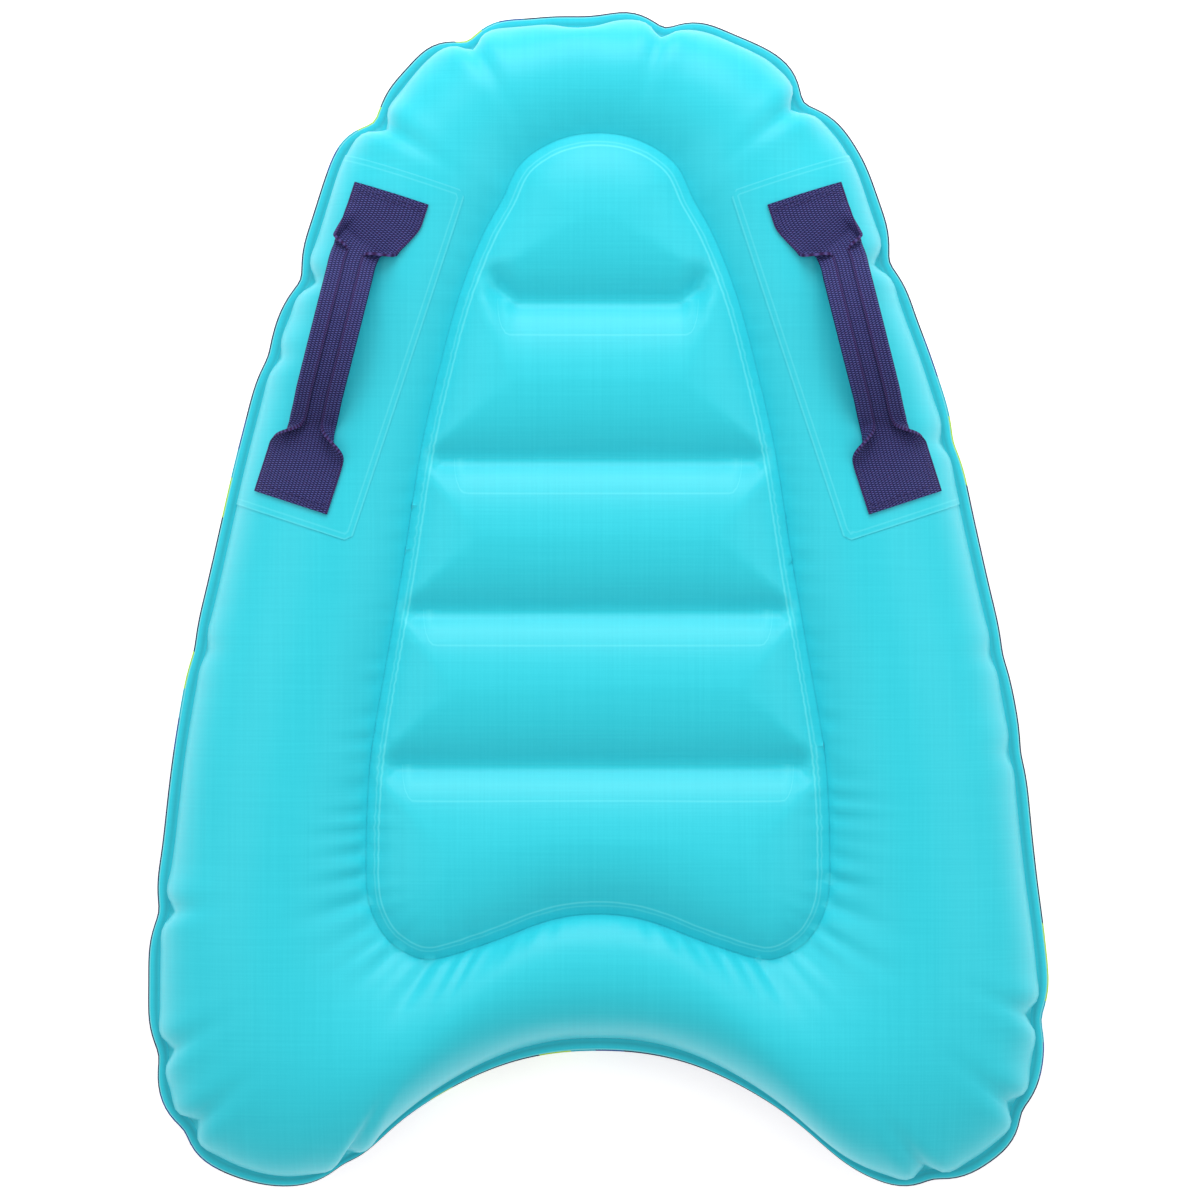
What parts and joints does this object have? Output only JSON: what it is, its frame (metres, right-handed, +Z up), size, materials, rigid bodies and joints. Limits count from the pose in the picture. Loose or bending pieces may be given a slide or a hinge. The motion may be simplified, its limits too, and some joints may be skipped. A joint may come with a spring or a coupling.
{
  "type": "bodyboard",
  "caption": "Flat inflatable bodyboard with a thick outer ring, a channelled middle, a notched tail and webbing grab handles.",
  "frame": {"origin": "on the floor under the middle of the board's box", "axes": "+X to the rider's right, +Y toward the nose, +Z up from the underside to the handles"},
  "size_m": [0.56, 0.73, 0.1222],
  "materials": {
    "turquoise_fabric": "satin",
    "printed_fabric": "satin",
    "wall_fabric": "matte",
    "navy_webbing": "matte",
    "navy_thread": "matte",
    "clear_vinyl": "gloss"
  },
  "bodies": {
    "board": {"ring_top_sheet": "turquoise_fabric", "centre_top_sheet": "turquoise_fabric", "ring_bottom_sheet": "printed_fabric", "centre_bottom_sheet": "printed_fabric", "chamber_wall": "wall_fabric", "cross_wall_1": "wall_fabric", "cross_wall_2": "wall_fabric", "cross_wall_3": "wall_fabric", "cross_wall_4": "wall_fabric", "handle_patch_right": "turquoise_fabric", "handle_patch_left": "turquoise_fabric", "handle_upper_pad_right": "navy_webbing", "handle_upper_pad_left": "navy_webbing", "handle_lower_pad_right": "navy_webbing", "handle_lower_pad_left": "navy_webbing", "handle_stitching_right": "navy_thread", "handle_stitching_left": "navy_thread", "ring_valve_base": "clear_vinyl", "ring_valve_tether": "clear_vinyl", "centre_valve_base": "clear_vinyl", "centre_valve_tether": "clear_vinyl"},
    "grip_right": {"handle_grip_right": "navy_webbing"},
    "grip_left": {"handle_grip_left": "navy_webbing"},
    "ring_plug": {"ring_valve_plug": "clear_vinyl"},
    "centre_plug": {"centre_valve_plug": "clear_vinyl"},
    "ring_flap": {"ring_valve_flap": "clear_vinyl"},
    "centre_flap": {"centre_valve_flap": "clear_vinyl"}
  },
  "joints": [
    {"name": "grip_right_swing", "type": "hinge", "parent": "board", "child": "grip_right", "pos_m": [0.16121, 0.16359, 0.09951], "axis": [-0.2695, 0.9627, -0.0237], "range_deg": [-20, 30]},
    {"name": "grip_left_swing", "type": "hinge", "parent": "board", "child": "grip_left", "pos_m": [-0.16121, 0.16359, 0.09951], "axis": [-0.2695, -0.9627, 0.0237], "range_deg": [-20, 30]},
    {"name": "ring_plug_pull", "type": "slide", "parent": "board", "child": "ring_plug", "axis": [0, 0, -1], "range_m": [0, 0.014], "deforming": ["ring_valve_tether"]},
    {"name": "centre_plug_pull", "type": "slide", "parent": "board", "child": "centre_plug", "axis": [0, 0, -1], "range_m": [0, 0.014], "deforming": ["centre_valve_tether"]},
    {"name": "ring_flap_lift", "type": "hinge", "parent": "board", "child": "ring_flap", "pos_m": [-0.0067, -0.23001, 0.02275], "axis": [0, -1, 0], "range_deg": [0, 50]},
    {"name": "centre_flap_lift", "type": "hinge", "parent": "board", "child": "centre_flap", "pos_m": [-0.0067, -0.14965, 0.02713], "axis": [0, -1, 0], "range_deg": [0, 50]}
  ]
}
